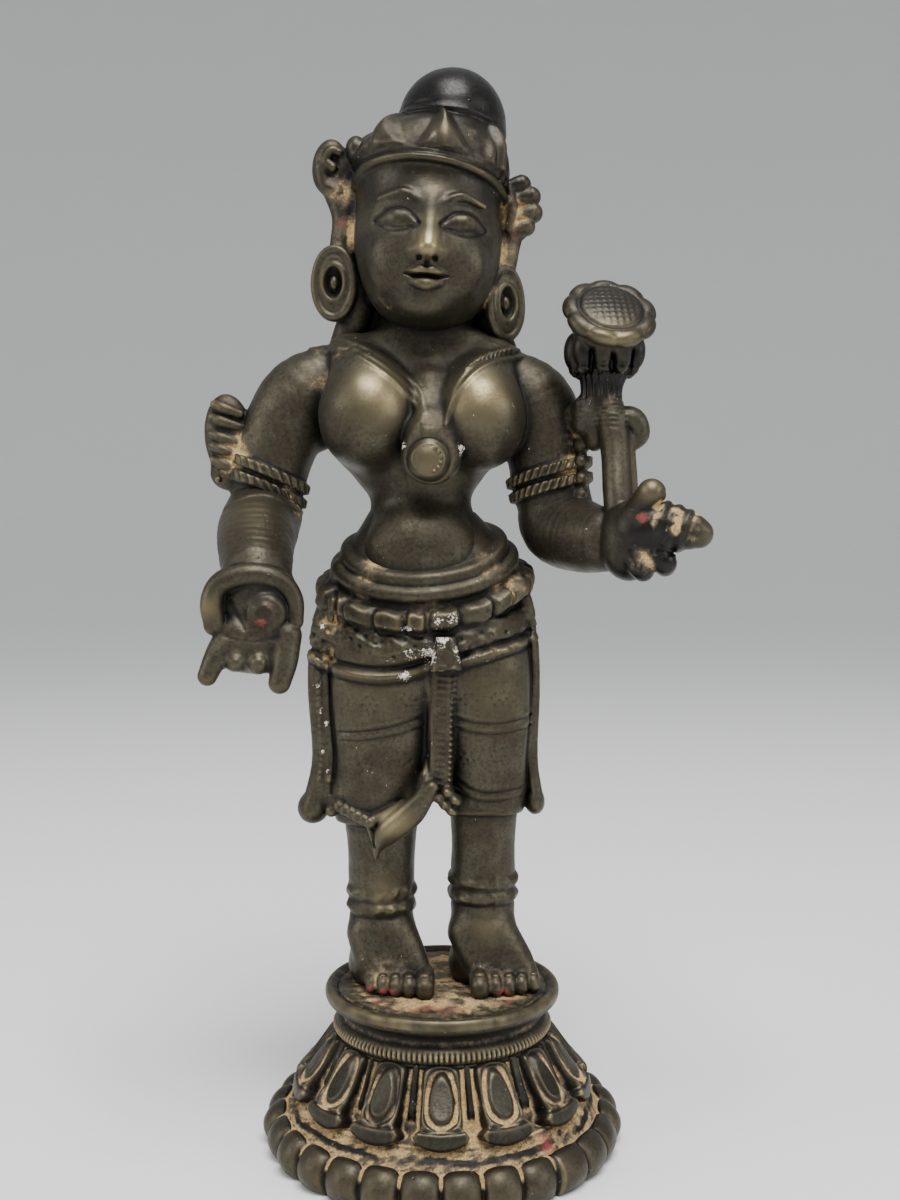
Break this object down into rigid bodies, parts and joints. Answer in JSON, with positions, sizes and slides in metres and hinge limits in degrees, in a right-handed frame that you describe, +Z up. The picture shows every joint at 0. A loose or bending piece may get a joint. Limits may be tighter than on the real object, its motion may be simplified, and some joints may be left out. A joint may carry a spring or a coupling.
{
  "type": "cast bronze goddess statue",
  "caption": "Small cast-bronze standing goddess with a lotus bud in a raised hand, on a round lotus-petal pedestal with a beaded foot.",
  "frame": {"origin": "middle of the pedestal's flat round underside", "axes": "+Z up along the figure, the figure faces -Y, +X to the viewer's right"},
  "size_m": [0.045, 0.034, 0.101],
  "materials": {
    "bronze": "dark olive-brown patinated copper alloy, satin, worn bright on high points, ochre clay in the pedestal's hollows"
  },
  "bodies": {
    "root": {"goddess_statue": "bronze"}
  },
  "joints": []
}
